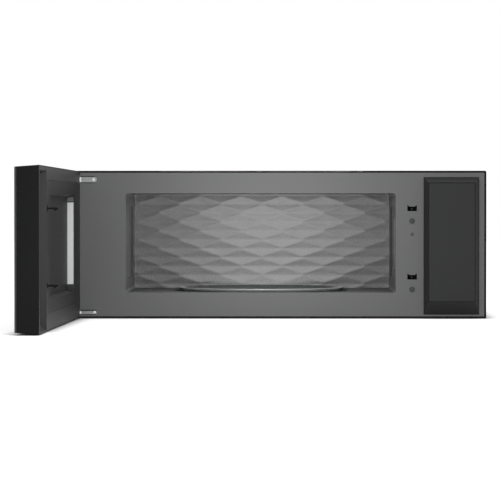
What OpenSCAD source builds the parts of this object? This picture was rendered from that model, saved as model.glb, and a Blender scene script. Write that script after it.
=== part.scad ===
// Low-profile over-the-range microwave with its full-width door open.
// X runs to the right, Y towards the wall, Z up. The origin is on the wall plane,
// at mid width, level with the underside.

/* [Cabinet] */
// Width of the cabinet
body_w = 759; // [750:1:800]
// Height of the cabinet
body_h = 273; // [270:1:300]
// Depth from the wall plane to the face of the front plate
body_d = 420; // [418:1:460]
// Thickness of the cabinet sheet
sheet = 1; // [0.8:0.1:1.4]
// Distance from the front to the folds along the floor
fold_start = 12; // [8:1:16]
// Corner radius of the cabinet and of the door
corner_r = 3; // [2:0.5:4]
// Diameter of the two holes for the cabinet bolts
bolt_hole_d = 9; // [8:0.5:11]
// Distance between the two cabinet bolts
bolt_spacing = 560; // [520:1:600]
// Distance of the cabinet bolts from the wall
bolt_back = 230; // [200:1:260]
// Width of the duct opening in the top
duct_w = 254; // [240:1:260]
// Depth of the duct opening in the top
duct_d = 82.5; // [76:0.5:84]

/* [Front plate] */
// Thickness of the front plate
plate_t = 1.5; // [1:0.1:2]
// Depth of the flange folded back round the front plate
plate_flange = 10; // [6:1:14]
// Gap between the front plate and the outer sheet round it
plate_gap = 1; // [0.8:0.1:1.2]

/* [Cavity] */
// Distance from the left of the cabinet to the cavity
cavity_left = 91.7; // [85:0.1:95]
// Distance from the cavity to the right of the cabinet, where the machine room is
cavity_right = 167.3; // [165:0.1:175]
// Distance from the cavity to the top of the cabinet
cavity_top = 41.7; // [40:0.1:46]
// Room between the cavity and the wall plane for the vent blower
cavity_back_room = 80; // [78:1:84]
// Height of the cavity floor above the underside
cavity_floor = 47.7; // [46:0.1:50]
// Thickness of the cavity sheet
liner_t = 0.8; // [0.6:0.1:1.2]
// Corner radius of the cavity's opening
cavity_r = 5; // [3:0.5:8]
// Depth of the pressed field in each side wall
field_depth = 2.5; // [1.5:0.1:3]
// Distance from the front plate to the pressed field
field_start = 52; // [45:1:60]
// Length of the pressed field
field_len = 218; // [200:1:225]
// Distance from the pressed field to the cavity floor and ceiling
field_margin = 24; // [20:1:30]

/* [Embossed back] */
// Width of one diamond
diamond_w = 80.6; // [70:0.1:90]
// Height of one diamond
diamond_h = 34.8; // [30:0.1:40]
// Depth of each pressed diamond
diamond_depth = 1.2; // [0.8:0.1:2.5]
// Share of a diamond taken by the flat land round it
diamond_land = 0.08; // [0.04:0.01:0.3]
// Thickness of the back behind the diamonds
back_t = 0.8; // [0.6:0.1:1.2]
// Width of the flange round the back
back_flange = 9; // [7:0.5:12]

/* [Turntable] */
// How much smaller the glass tray is than the depth of the cavity
tray_less = 22; // [20:1:40]
// Height of the tray from its underside to its rim
tray_h = 10; // [8:0.5:12]
// Thickness of the glass
tray_t = 3.6; // [3:0.1:4.5]
// Depth of the round well in the cavity floor
well_depth = 14; // [13:0.5:16]
// Gap between the tray and the well
well_gap = 7; // [5:0.5:10]
// Radius of a roller
roller_r = 5; // [4.5:0.1:5.5]
// Width of a roller
roller_w = 6; // [4:0.5:8]
// Radius of the circle that the rollers run on
roller_path = 108; // [95:1:120]
// Width of the roller ring's rim
ring_w = 6; // [5:0.5:8]
// Radius of a roller's axle
axle_r = 1.5; // [1.2:0.1:1.8]
// Running gap under and over pieces that rest on each other
seat_gap = 0.3; // [0.2:0.05:0.4]
// Radial running gap of the pins, shafts and axles
running_gap = 0.05; // [0.03:0.01:0.08]
// Radius of the turntable shaft
shaft_r = 3; // [2.5:0.1:3.5]

/* [Control housing] */
// Distance from the middle of the latch slots to the housing
control_left = 21; // [19:0.5:24]
// Distance from the housing to the top of the cabinet
control_top = 11.6; // [10:0.1:16]
// Distance from the right of the cabinet to the housing
control_right = 13; // [12.5:0.5:14]
// Height of the housing's foot above the underside
control_bottom = 6.7; // [6:0.1:8]
// How far the housing stands out of the front plate
control_proud = 22; // [18:0.5:24]
// Slope of the housing's sides
control_slope_side = 7.5; // [6:0.5:9]
// Slope of the housing's top
control_slope_top = 10; // [8:0.5:12]
// Slope of the housing's bottom
control_slope_bottom = 23.5; // [20:0.5:26]
// Wall of the housing
control_wall = 2.5; // [2:0.1:3]

/* [Door] */
// How far the door is open
door_open = 91; // [85:1:100]
// Gap between the closed door and the front plate
door_gap = 2.4; // [2.2:0.1:2.8]
// Thickness of the door with its glass
door_t = 39.7; // [36:0.1:44]
// Thickness of the outer glass
glass_t = 3.2; // [3:0.1:4]
// How much the door's top and bottom edges lean in towards the glass
door_lean = 2.6; // [2:0.1:3]
// Gap from the underside and the top of the cabinet to the door
door_inset = 1; // [0.5:0.1:1.5]
// Wall of the door moulding
door_wall = 3; // [2.5:0.1:3.5]
// Clearance between the control housing and the pocket in the door
pocket_gap = 3; // [2.5:0.1:4]
// Distance from the door's hinge end to the inner cover
cover_left = 70; // [66:1:74]
// Distance from the inner cover's upper edge to the door's
cover_top = 22.5; // [20:0.5:26]
// Height of the inner cover's lower edge above the door's
cover_bottom = 29.5; // [28:0.5:31]
// Thickness of the inner cover
cover_t = 1.4; // [1:0.1:1.6]
// Gap round the inner cover
cover_gap = 0.4; // [0.3:0.05:0.6]
// Distance from the door's hinge end to the window well
window_left = 110; // [106:1:114]
// Distance from the window well to the far side of the cavity
window_right = 13.7; // [10:0.1:20]
// Distance from the window well to the door's upper edge
window_top = 44.5; // [42:0.5:50]
// Height of the window well above the door's lower edge
window_bottom = 51; // [49:0.5:53]
// Depth of the window well
window_depth = 13; // [11:0.5:15]
// How much each side of the window well leans in
window_lean = 3; // [2:0.5:4]
// Corner radius of the window well
window_r = 14; // [10:1:18]

/* [Hinges] */
// Distance from the left of the cabinet to the hinge axis
hinge_in = 4.2; // [4:0.1:4.6]
// Distance from the front plate to the hinge axis
hinge_out = 5.4; // [5.3:0.1:6]
// Radius of a hinge pin
pin_r = 2; // [1.8:0.1:2.1]
// Length of a hinge pin above and below its lug
pin_len = 6; // [5:0.5:8]
// Radius of a hinge bushing
bushing_r = 3.1; // [2.9:0.1:3.2]
// Thickness of a hinge lug
lug_t = 3; // [2.5:0.1:3.5]
// Width of the bracket that shows in the front plate
bracket_w = 33; // [30:1:36]
// Height of the upper bracket that shows
bracket_h = 10; // [9:0.5:12]
// Height of the lower bracket that shows
bracket_low_h = 7; // [6:0.5:9]
// Height of the lower hinge lug above the underside
hinge_low = 10.9; // [10.5:0.1:12]
// Distance from the top of the cabinet to the upper hinge lug
hinge_top = 16.4; // [16:0.1:20]

/* [Latch] */
// Distance from the cavity to the latch slots
latch_right = 30.3; // [28:0.1:32]
// Height of the lower hook
hook_low = 76; // [70:1:80]
// Distance from the upper hook to the top of the cabinet
hook_top = 70.4; // [66:0.1:76]
// Width of a hook
hook_w = 13; // [10:0.5:14]
// Thickness of a hook
hook_t = 3; // [2.5:0.1:3.2]
// How far a hook stands out of the door
hook_out = 18.5; // [16:0.5:20]
// Depth of the catch under a hook's tip
hook_catch = 2.2; // [2:0.1:2.4]
// How far the latch bar lifts
latch_lift = 2.3; // [2:0.1:2.4]
// Width of a latch slot
slot_w = 17.6; // [16:0.1:19]
// Height of a latch slot
slot_h = 10.6; // [10.5:0.1:12]
// Diameter of a door bumper
bumper_d = 10; // [8:0.5:12]

/* [Underside] */
// Width of a grease filter
filter_w = 190; // [170:1:200]
// Depth of a grease filter
filter_d = 130; // [110:1:136]
// Thickness of a grease filter
filter_t = 8; // [6:0.5:9]
// Distance of each grease filter's centre from the side of the cabinet
filter_side = 229.5; // [225:0.5:240]
// Distance of the grease filters' centre from the wall
filter_back = 150; // [140:1:155]
// Width of the ledge that a grease filter rests on
filter_ledge = 6; // [5:0.5:8]
// How far a grease filter slides to free it
filter_slide = 12; // [8:1:13]
// Width of a lamp cover
lamp_w = 90; // [80:1:100]
// Depth of a lamp cover
lamp_d = 60; // [50:1:66]
// Distance of each lamp's centre from the side of the cabinet
lamp_side = 179.5; // [175:0.5:185]
// Distance of the lamps from the front plate
lamp_front = 66; // [62:1:80]
// Thickness of a lamp cover
lamp_t = 2; // [1.6:0.1:2.5]

/* [Machine room] */
// Room between the vent blower's housing and the sheets round it
blower_clear = 1.6; // [1:0.1:3]
// Length of a vent blower wheel
wheel_len = 84; // [70:1:90]
// Height of the vent blower's axis
blower_z = 150; // [140:1:160]
// Blades on one vent blower wheel
wheel_blades = 22; // [16:1:28]
// Radius of the cooling fan
fan_r = 50; // [44:1:52]
// Height of the cooling fan's axis and of the magnetron
fan_z = 140; // [136:1:144]
// Blades on the cooling fan
fan_blades = 6; // [4:1:7]

/* [Hidden] */
$fn = 40;
eps = 0.01;
x_left = -body_w / 2;
x_right = body_w / 2;
y_front = -body_d;
y_plate = y_front + plate_t;
cav_x0 = x_left + cavity_left;
cav_x1 = x_right - cavity_right;
cavity_w = cav_x1 - cav_x0;
cav_xm = (cav_x0 + cav_x1) / 2;
cav_z0 = cavity_floor;
cav_z1 = body_h - cavity_top;
cavity_h = cav_z1 - cav_z0;
cav_y1 = -cavity_back_room;
cav_ym = (y_front + cav_y1) / 2;
tray_d = cav_y1 - y_front - tray_less;
well_z = cav_z0 - well_depth;
well_r = tray_d / 2 + well_gap;
roller_z = well_z + seat_gap + roller_r;
tray_z = roller_z + roller_r + seat_gap;
hinge_x = x_left + hinge_in;
hinge_y = y_front - hinge_out;
door_y = y_front - door_gap;
door_face = door_y - door_t;
door_back = door_face + glass_t;
door_x1 = x_right - door_inset;
door_z0 = door_inset;
door_z1 = body_h - door_inset;
latch_x = cav_x1 + latch_right;
control_x1 = x_right - control_right;
control_x0 = latch_x + control_left;
control_z1 = body_h - control_top;
pocket_d = control_proud - door_gap + pocket_gap;
hinge_zs = [hinge_low, body_h - hinge_top];
hook_high = body_h - hook_top;
hook_zs = [hook_low, hook_high];
filter_x = body_w / 2 - filter_side;
lamp_x = body_w / 2 - lamp_side;

// A flat rectangle from corner to corner with round corners.
module round_rect(x0, z0, x1, z1, r) {
    translate([x0 + r, z0]) square([x1 - x0 - 2 * r, z1 - z0]);
    translate([x0, z0 + r]) square([x1 - x0, z1 - z0 - 2 * r]);
    for (x = [x0 + r, x1 - r], z = [z0 + r, z1 - r]) translate([x, z]) circle(r);
}

// Stands a flat outline up in X and Z and gives it depth from y0 to y1.
module upright(y0, y1) {
    translate([0, y1, 0]) rotate([90, 0, 0]) linear_extrude(y1 - y0) children();
}

// A box from one corner to the other.
module box(a, b) {
    translate(a) cube(b - a);
}

// A straight rod along X, Y or Z.
module rod_x(x0, x1, y, z, r) {
    translate([x0, y, z]) rotate([0, 90, 0]) cylinder(h = x1 - x0, r = r);
}
module rod_y(x, y0, y1, z, r) {
    translate([x, y1, z]) rotate([90, 0, 0]) cylinder(h = y1 - y0, r = r);
}
module rod_z(x, y, z0, z1, r) {
    translate([x, y, z0]) cylinder(h = z1 - z0, r = r);
}

// Turns a piece that is drawn on the closed door to where the open door holds it.
module on_door() {
    translate([hinge_x, hinge_y, 0]) rotate([0, 0, -door_open])
        translate([-hinge_x, -hinge_y, 0]) children();
}

// Four-sided block that goes forward from y0, where its corners are a and b, to y1, where
// they are c and d.
module sloped_block(y0, y1, a, b, c, d) {
    polyhedron(
        points = [[a[0], y0, a[1]], [b[0], y0, a[1]], [b[0], y0, b[1]], [a[0], y0, b[1]],
                  [c[0], y1, c[1]], [d[0], y1, c[1]], [d[0], y1, d[1]], [c[0], y1, d[1]]],
        faces = [[0, 1, 2, 3], [7, 6, 5, 4], [4, 5, 1, 0], [5, 6, 2, 1], [6, 7, 3, 2],
                 [7, 4, 0, 3]]);
}

/* Cabinet */
module wrap_outline(inset) {
    round_rect(x_left + inset, inset, x_right - inset, body_h - inset, corner_r);
    translate([x_left + inset, 0]) square([body_w - 2 * inset, body_h / 2]);
}

slot_count = 14;
slot_pitch = 26;
slot_size = [14, 36];
slot_front = 30;
duct_y1 = -8;
cord_x = x_right - 60;
cord_y = -45;
cord_r = 12;

// The folded outer sheet, still in one piece.
module outer_sheet() {
    difference() {
        upright(y_front, 0) wrap_outline(0);
        upright(y_front - eps, eps) wrap_outline(sheet);
        box([x_left + sheet, y_front - eps, -eps], [x_right - sheet, eps, sheet + eps]);
        for (i = [0 : slot_count - 1])
            translate([cav_xm + (i - (slot_count - 1) / 2) * slot_pitch - slot_size[0] / 2,
                       y_front + slot_front, body_h - sheet - eps])
                cube([slot_size[0], slot_size[1], sheet + 2 * eps]);
        box([-duct_w / 2, duct_y1 - duct_d, body_h - sheet - eps],
            [duct_w / 2, duct_y1, body_h + eps]);
        for (s = [-1, 1])
            rod_z(s * bolt_spacing / 2, -bolt_back, body_h - sheet - eps, body_h + eps,
                  bolt_hole_d / 2);
        rod_z(cord_x, cord_y, body_h - sheet - eps, body_h + eps, cord_r);
    }
}

seam_z = body_h - corner_r;

module cabinet_top() {
    color("#2a2b2d") intersection() {
        outer_sheet();
        box([x_left - eps, y_front - eps, seam_z], [x_right + eps, eps, body_h + eps]);
    }
}

// The two sides, welded to the top's turned-down edges.
module side_panels() {
    color("#2a2b2d") intersection() {
        outer_sheet();
        box([x_left - eps, y_front - eps, -eps], [x_right + eps, eps, seam_z]);
    }
}

rib_zs = [70, 210];
rib_in = 30;
rib_w = 14;
rib_depth = 2;
hook_slot_len = 30;
hook_slot_r = 4;
hook_slot_z = 26;
hook_slot_xs = [-300, -120, 120, 300];

module rear_panel() {
    color("#8d9092") difference() {
        union() {
            upright(-sheet, 0) wrap_outline(sheet);
            for (z = rib_zs)
                box([x_left + rib_in, -sheet - rib_depth, z - rib_w / 2],
                    [x_right - rib_in, -sheet, z + rib_w / 2]);
            for (s = [0, 1]) mirror([s, 0, 0])
                box([x_left + sheet, -14, sheet],
                    [x_left + 2 * sheet, -sheet, body_h - sheet - corner_r]);
        }
        box([x_left, -sheet - eps, -eps], [x_right, eps, sheet]);
        for (z = rib_zs)
            box([x_left + rib_in + sheet, -rib_depth - eps, z - rib_w / 2 + sheet],
                [x_right - rib_in - sheet, eps, z + rib_w / 2 - sheet]);
        for (x = hook_slot_xs) upright(-sheet - eps, eps) {
            k = hook_slot_len / 2 - hook_slot_r;
            translate([x - k, hook_slot_z - hook_slot_r]) square([2 * k, 2 * hook_slot_r]);
            for (s = [-1, 1]) translate([x + s * k, hook_slot_z]) circle(hook_slot_r);
        }
    }
}

filter_z = sheet + seat_gap;
rail_gap = 0.3;
lamp_hinge_r = 2.2;
lamp_pin_r = 1;
lamp_y0 = y_front + lamp_front;
lamp_hinge_y = lamp_y0 + lamp_d - lamp_hinge_r;
lamp_hinge_z = lamp_hinge_r + 0.3;
lamp_ear_x = lamp_w / 2 - 12;
lamp_ear_t = 2;
lamp_knuckle = 8;
lamp_gap = 0.8;

// Angle that holds one long edge of a grease filter down on its ledge.
module filter_rail(x) {
    top = filter_z + filter_t + rail_gap;
    x0 = x - filter_w / 2;
    y0 = filter_d / 2 + rail_gap;
    box([x0, y0, 0], [x0 + filter_w, y0 + sheet, top + sheet]);
    box([x0, filter_d / 2 - 5, top], [x0 + filter_w, y0 + sheet, top + sheet]);
}

module base_plate() {
    color("#77797b") difference() {
        union() {
            box([x_left + sheet, y_plate, 0], [x_right - sheet, 0, sheet]);
            box([x_left + sheet, y_plate + plate_flange, 0],
                [x_right - sheet, y_plate + plate_flange + sheet, 16]);
            for (s = [0, 1]) mirror([s, 0, 0])
                box([x_left + sheet, y_front + fold_start, 0], [x_left + 2 * sheet, -20, 14]);
            for (sx = [-1, 1], sy = [0, 1])
                translate([0, -filter_back, 0]) mirror([0, sy, 0])
                    filter_rail(sx * filter_x);
            for (sx = [-1, 1], k = [-1, 1], e = [-1, 1])
                translate([sx * lamp_x + k * lamp_ear_x + e * (lamp_knuckle / 2 + 0.3 + lamp_ear_t / 2),
                           lamp_hinge_y, 0])
                    box([-lamp_ear_t / 2, -2.4, lamp_hinge_z - lamp_pin_r - 0.6],
                        [lamp_ear_t / 2, lamp_hinge_r + lamp_gap + 2, lamp_hinge_z + 3]);
            for (sx = [-1, 1], k = [-1, 1])
                rod_x(sx * lamp_x + k * lamp_ear_x - lamp_knuckle / 2 - 1,
                      sx * lamp_x + k * lamp_ear_x + lamp_knuckle / 2 + 1,
                      lamp_hinge_y, lamp_hinge_z, lamp_pin_r);
        }
        for (sx = [-1, 1]) translate([sx * filter_x, -filter_back, 0])
            box([-filter_w / 2 + filter_ledge, -filter_d / 2 + filter_ledge, -eps],
                [filter_w / 2 - filter_ledge, filter_d / 2 - filter_ledge, sheet + eps]);
        for (sx = [-1, 1]) translate([sx * lamp_x, lamp_y0, 0])
            box([-lamp_w / 2 - lamp_gap, -lamp_gap, -eps], [lamp_w / 2 + lamp_gap,
                lamp_d + lamp_gap, sheet + eps]);
        for (i = [0 : 9])
            translate([x_right - 30 - i * 9, y_front + 130, -eps]) cube([4, 60, sheet + 2 * eps]);
    }
}

/* Front plate */
plate_x0 = x_left + sheet + plate_gap;
plate_x1 = x_right - sheet - plate_gap;
plate_z0 = sheet + plate_gap;
plate_z1 = body_h - sheet - plate_gap;
bracket_gap = 1.5;
pin_hole_d = 6.2;
slot_horn = 2.2;

// Latch slot with a slanted horn at each upper corner.
module latch_slot(z) {
    a = slot_w / 2;
    b = slot_h / 2;
    translate([latch_x, 0, z]) upright(y_front - eps, y_plate + eps)
        polygon([[-a, -b], [a, -b], [a, b], [a - 1.4, b], [a - 1.4 - slot_horn, b - slot_horn],
                 [1.4 + slot_horn - a, b - slot_horn], [1.4 - a, b], [-a, b]]);
}

function slot_mid(z) = z + 1.1;

module front_plate() {
    zc = control_bottom;
    color("#737577") difference() {
        upright(y_front, y_plate + plate_flange)
            round_rect(plate_x0, plate_z0, plate_x1, plate_z1, corner_r);
        upright(y_plate, y_plate + plate_flange + eps)
            round_rect(plate_x0 + plate_t, plate_z0 + plate_t, plate_x1 - plate_t,
                       plate_z1 - plate_t, 1);
        upright(y_front - eps, y_plate + eps) round_rect(cav_x0, cav_z0, cav_x1, cav_z1, cavity_r);
        for (z = hook_zs) latch_slot(slot_mid(z));
        box([control_x0 + 14, y_front - eps, zc + 34], [control_x1 - 14, y_plate + eps,
            control_z1 - 20]);
        for (i = [0, 1]) upright(y_front - eps, y_plate + eps) bracket_outline(i, bracket_gap);
        for (z = hook_zs)
            rod_y(latch_x, y_front - eps, y_plate + eps, z - bumper_drop, bumper_hole_r);
        rod_y(latch_x, y_front - eps, y_plate + eps, pin_hole_z, pin_hole_d / 2);
    }
}

bumper_drop = 22.4;
bumper_hole_r = 3;
pin_hole_z = hook_high - 47.2;

module door_bumpers() {
    color("#1b1b1c") for (z = hook_zs) translate([latch_x, y_front, z - bumper_drop])
        rotate([90, 0, 0]) {
            cylinder(h = 1.2, r = bumper_d / 2);
            translate([0, 0, 1.2]) cylinder(h = 0.8, r1 = bumper_d / 2, r2 = bumper_d / 2 - 1.2, $fn = 32);
            translate([0, 0, -plate_t - 1.5]) cylinder(h = plate_t + 1.5, r = bumper_hole_r - 0.05);
        }
}

/* Cavity */
field_z0 = cav_z0 + field_margin;
field_z1 = cav_z1 - field_margin;
field_slope = 6;

// The pressed field of a side wall, seen from above: sloped at both ends.
module field(x, out, t) {
    y0 = y_front + field_start;
    translate([0, 0, field_z0 - t]) linear_extrude(field_z1 - field_z0 + 2 * t)
        polygon([[x, y0 - t], [x, y0 + field_len + t],
                 [x + out, y0 + field_len - field_slope + t], [x + out, y0 + field_slope - t]]);
}

port_y0 = y_front + field_start + 70;
port_size = [40, 80];
hole_r = 2;
bulb_x = cav_x0 + 36;
bulb_y = y_front + 52;

module cavity_liner() {
    t = liner_t;
    color("#8a8c8d") difference() {
        union() {
            upright(y_plate, cav_y1) round_rect(cav_x0 - t, cav_z0 - t, cav_x1 + t, cav_z1 + t,
                                                cavity_r + t);
            upright(y_plate, y_plate + t) round_rect(cav_x0 - 8, cav_z0 - 8, cav_x1 + 8, cav_z1 + 8,
                                                     cavity_r);
            upright(cav_y1 - t, cav_y1) round_rect(cav_x0 - back_flange, cav_z0 - back_flange,
                                                   cav_x1 + back_flange, cav_z1 + back_flange, cavity_r);
            field(cav_x0, -field_depth - t, t);
            field(cav_x1, field_depth + t, t);
            rod_z(cav_xm, cav_ym, well_z - t, cav_z0, well_r + t);
        }
        upright(y_plate - eps, cav_y1 + eps) round_rect(cav_x0, cav_z0, cav_x1, cav_z1, cavity_r);
        field(cav_x0 + eps, -field_depth - eps, 0);
        field(cav_x1 - eps, field_depth + eps, 0);
        rod_z(cav_xm, cav_ym, well_z, cav_z0 + eps, well_r);
        rod_z(cav_xm, cav_ym, well_z - t - eps, well_z + eps, shaft_r + 4);
        translate([cav_x1, port_y0, fan_z - port_size[1] / 2])
            cube([field_depth + 2 * t, port_size[0], port_size[1]]);
        for (i = [0 : 3], j = [0 : 3])
            rod_x(cav_x1 - eps, cav_x1 + t + eps, cav_y1 - 22 - i * 7, cav_z1 - 44 - j * 7, hole_r);
        for (i = [0 : 3], j = [0 : 3])
            rod_z(bulb_x + (i - 1.5) * 8, bulb_y + (j - 1.5) * 8, cav_z1 - eps, cav_z1 + t + eps,
                  hole_r);
    }
}

module cavity_lamp() {
    color("#d8d6c8") translate([bulb_x, bulb_y, cav_z1 + liner_t]) {
        difference() {
            box([-22, -22, 0], [22, 22, 24]);
            box([-21, -21, -eps], [21, 21, 23]);
        }
        rod_z(0, 0, 3, 23 + eps, 9);
    }
}

// One pressed diamond: a four-sided hollow, widest at the sheet's face.
module diamond(x, z) {
    a = diamond_w / 2 * (1 - diamond_land);
    b = diamond_h / 2 * (1 - diamond_land);
    k = 1 + eps / diamond_depth;
    translate([x, cav_y1, z]) polyhedron(
        points = [[-a * k, -eps, 0], [0, -eps, -b * k], [a * k, -eps, 0], [0, -eps, b * k],
                  [0, diamond_depth, 0]],
        faces = [[3, 2, 1, 0], [4, 0, 1], [4, 1, 2], [4, 2, 3], [4, 3, 0]]);
}

emboss_up = 3.1;

module cavity_back() {
    t = diamond_depth + back_t;
    cols = ceil(cavity_w / diamond_w) + 1;
    rows = ceil(cavity_h / diamond_h) + 1;
    zc = (cav_z0 + cav_z1) / 2 + emboss_up;
    color("#9a9c9d") difference() {
        upright(cav_y1, cav_y1 + t) round_rect(cav_x0 - back_flange, cav_z0 - back_flange,
                                               cav_x1 + back_flange, cav_z1 + back_flange, cavity_r);
        intersection() {
            box([cav_x0 + 1, cav_y1 - 1, cav_z0 + 1], [cav_x1 - 1, cav_y1 + t, cav_z1 - 1]);
            for (i = [-cols : cols], j = [-rows : rows])
                if ((i + j) % 2 != 0) diamond(cav_xm + i * diamond_w / 2, zc + j * diamond_h / 2);
        }
    }
}

/* Control housing on the front plate */
groove_in = 0.5;
groove_w = 1.2;
groove_depth = 1;

// The housing's front face, from corner c to corner d, drawn in by m.
module face_outline(c, d, m) {
    translate(c + [m, m]) square(d - c - 2 * [m, m]);
}

module control_housing() {
    w = control_wall;
    a = [control_x0, control_bottom];
    b = [control_x1, control_z1];
    c = [control_x0 + control_slope_side, control_bottom + control_slope_bottom];
    d = [control_x1 - control_slope_side, control_z1 - control_slope_top];
    y1 = y_front - control_proud;
    color("#333436") {
        difference() {
            sloped_block(y_front, y1, a, b, c, d);
            sloped_block(y_front + eps, y1 + w, a + [w, w], b - [w, w], c + [w, w], d - [w, w]);
            upright(y1 - eps, y1 + groove_depth) difference() {
                face_outline(c, d, groove_in);
                face_outline(c, d, groove_in + groove_w);
            }
        }
        for (x = [c[0] + 9, d[0] - 9], z = [c[1] + 12, d[1] - 12])
            rod_y(x, y1 + w - eps, y_front - 6, z, 3);
    }
}

module control_board() {
    x0 = control_x0 + control_slope_side + 4;
    x1 = control_x1 - control_slope_side - 4;
    z0 = control_bottom + control_slope_bottom + 6;
    z1 = control_z1 - control_slope_top - 6;
    color("#3d6b4a") {
        box([x0, y_front - 6, z0], [x1, y_front - 4.4, z1]);
        for (k = [0 : 2])
            box([x0 + 16, y_front - 4.4, z0 + 30 + k * 34], [x0 + 34, y_front + 12, z0 + 52 + k * 34]);
        box([x1 - 42, y_front - 4.4, z1 - 62], [x1 - 14, y_front + 14, z1 - 24]);
        rod_y(x1 - 24, y_front - 4.4, y_front + 12, z0 + 40, 8);
    }
}

/* Door latch in the cabinet */
bracket_depth = 30;
catch_x0 = latch_x - 12;
catch_x1 = latch_x + 12;
switch_t = 10;

module latch_bracket() {
    z0 = hook_low - 20;
    z1 = hook_high + 20;
    color("#e6e4de") difference() {
        box([catch_x0, y_plate, z0], [catch_x1, y_plate + bracket_depth, z1]);
        for (z = hook_zs) translate([latch_x, y_plate, slot_mid(z)])
            box([-slot_w / 2, -eps, -slot_h / 2], [slot_w / 2, bracket_depth - 4, slot_h / 2]);
        for (z = hook_zs)
            rod_y(latch_x, y_plate - eps, y_plate + 4, z - bumper_drop, bumper_hole_r + 0.6);
        rod_y(latch_x, y_plate - eps, y_plate + 4, pin_hole_z, small_screw_r);
        for (z = hook_zs)
            rod_y(latch_x, y_plate, y_plate + bracket_depth + eps, z, plunger_r + 0.4);
        box([catch_x0 + 3, y_plate + 3, hook_low + 14], [catch_x1 - 3,
            y_plate + bracket_depth + eps, hook_high - bumper_drop - 8]);
    }
}

plunger_r = 1.5;
plunger_travel = 1.2;
switch_y = y_plate + bracket_depth;
hook_tip_y = door_y + hook_out;

module interlock_switches() {
    color("#222325") for (z = hook_zs) difference() {
        box([latch_x - switch_t / 2, switch_y, z - 8], [latch_x + switch_t / 2, switch_y + 16, z + 20]);
        rod_y(latch_x, switch_y - eps, switch_y + 9, z, plunger_r + running_gap);
    }
}

module switch_plungers() {
    color("#c23b2e") for (z = hook_zs)
        rod_y(latch_x, hook_tip_y + 0.4, switch_y + 9 - plunger_travel - 0.5, z, plunger_r);
}

/* Hinges */
bracket_x0 = plate_x0 + bracket_gap + 1.1;
bracket_x1 = x_left + hinge_in + bracket_w;
bracket_face = y_front - 1.2;
lug_r = 4;
screw_r = 1.6;
screw_head_r = 2.8;
small_screw_r = 1.2;
small_head_r = 2.2;
function bracket_size(i) = i == 0 ? bracket_low_h : bracket_h;
function hinge_screw_x(i) = bracket_x1 - bracket_size(i) / 2;

// Outline of the plate of a hinge that shows in the front plate, grown by m: its end away
// from the pin is round.
module bracket_outline(i, m) {
    z = hinge_zs[i];
    r = bracket_size(i) / 2 + m;
    translate([bracket_x0 - m, z - r]) square([hinge_screw_x(i) - bracket_x0 + m, 2 * r]);
    translate([hinge_screw_x(i), z]) circle(r);
}

module hinge(i) {
    z = hinge_zs[i];
    h = bracket_size(i);
    color("#d4d6d8") {
        difference() {
            union() {
                box([plate_x0 + plate_t + 0.3, y_plate, z - h / 2 - 2.5],
                    [bracket_x1 + 6, y_plate + 2, z + h / 2 + 2.5]);
                upright(bracket_face, y_plate + eps) bracket_outline(i, 0);
            }
            rod_y(hinge_screw_x(i), bracket_face - eps, y_plate + 3, z, screw_r);
        }
        box([hinge_x - lug_r, hinge_y, z - lug_t / 2], [hinge_x + lug_r, bracket_face + eps, z + lug_t / 2]);
        rod_z(hinge_x, hinge_y, z - lug_t / 2, z + lug_t / 2, lug_r);
        rod_z(hinge_x, hinge_y, z - lug_t / 2 - pin_len, z + lug_t / 2 + pin_len, pin_r);
    }
}
module upper_hinge() { hinge(1); }
module lower_hinge() { hinge(0); }

module plate_screws() {
    color("#a9abad") {
        for (i = [0, 1]) {
            rod_y(hinge_screw_x(i), bracket_face - 0.8, bracket_face, hinge_zs[i], screw_head_r);
            rod_y(hinge_screw_x(i), bracket_face - eps, y_plate + 4, hinge_zs[i], screw_r);
        }
        rod_y(latch_x, y_plate - 1.2, y_plate, pin_hole_z, small_head_r);
        rod_y(latch_x, y_plate - eps, y_plate + 3.5, pin_hole_z, small_screw_r);
    }
}

/* Microwave feed and its cooling */
guide_x0 = cav_x1 + field_depth + liner_t;
guide_w = 36;
guide_y = [port_y0 - 10, port_y0 + 120];
guide_z = [fan_z - 50, fan_z + 50];
antenna_y = port_y0 + 90;

module waveguide() {
    t = sheet;
    color("#b3b5b7") difference() {
        box([guide_x0, guide_y[0], guide_z[0]], [guide_x0 + guide_w, guide_y[1], guide_z[1]]);
        box([guide_x0 - eps, guide_y[0] + t, guide_z[0] + t],
            [guide_x0 + guide_w - t, guide_y[1] - t, guide_z[1] - t]);
        rod_x(guide_x0 + guide_w - t - eps, guide_x0 + guide_w + eps, antenna_y, fan_z, 13);
    }
}

module waveguide_cover() {
    m = 8;
    color("#b9a67e")
        box([cav_x1 + field_depth - 0.8, port_y0 - m, fan_z - port_size[1] / 2 - m],
            [cav_x1 + field_depth, port_y0 + port_size[0] + m, fan_z + port_size[1] / 2 + m]);
}

module magnetron() {
    x = guide_x0 + guide_w;
    color("#9ea2a6") translate([x, antenna_y, fan_z]) {
        rod_x(-22, 0, 0, 0, 8);
        rod_x(-28, -22, 0, 0, 5);
        box([0, -40, -31], [2, 40, 31]);
        box([52, -40, -31], [54, 40, 31]);
        for (s = [-1, 1]) box([0, -38, s * 30 - 1], [54, 38, s * 30 + 1]);
        rod_x(0, 54, 0, 0, 19);
        for (i = [0 : 5]) box([9 + i * 6, -36, -29.5], [9.8 + i * 6, 36, 29.5]);
        rod_x(2, 8, 0, 0, 27);
        rod_x(46, 52, 0, 0, 27);
        box([54, -20, -18], [84, 20, 18]);
    }
}

fan_x = guide_x0 + guide_w + 42;
fan_plate_y = -62;
fan_depth = 26;

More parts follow.
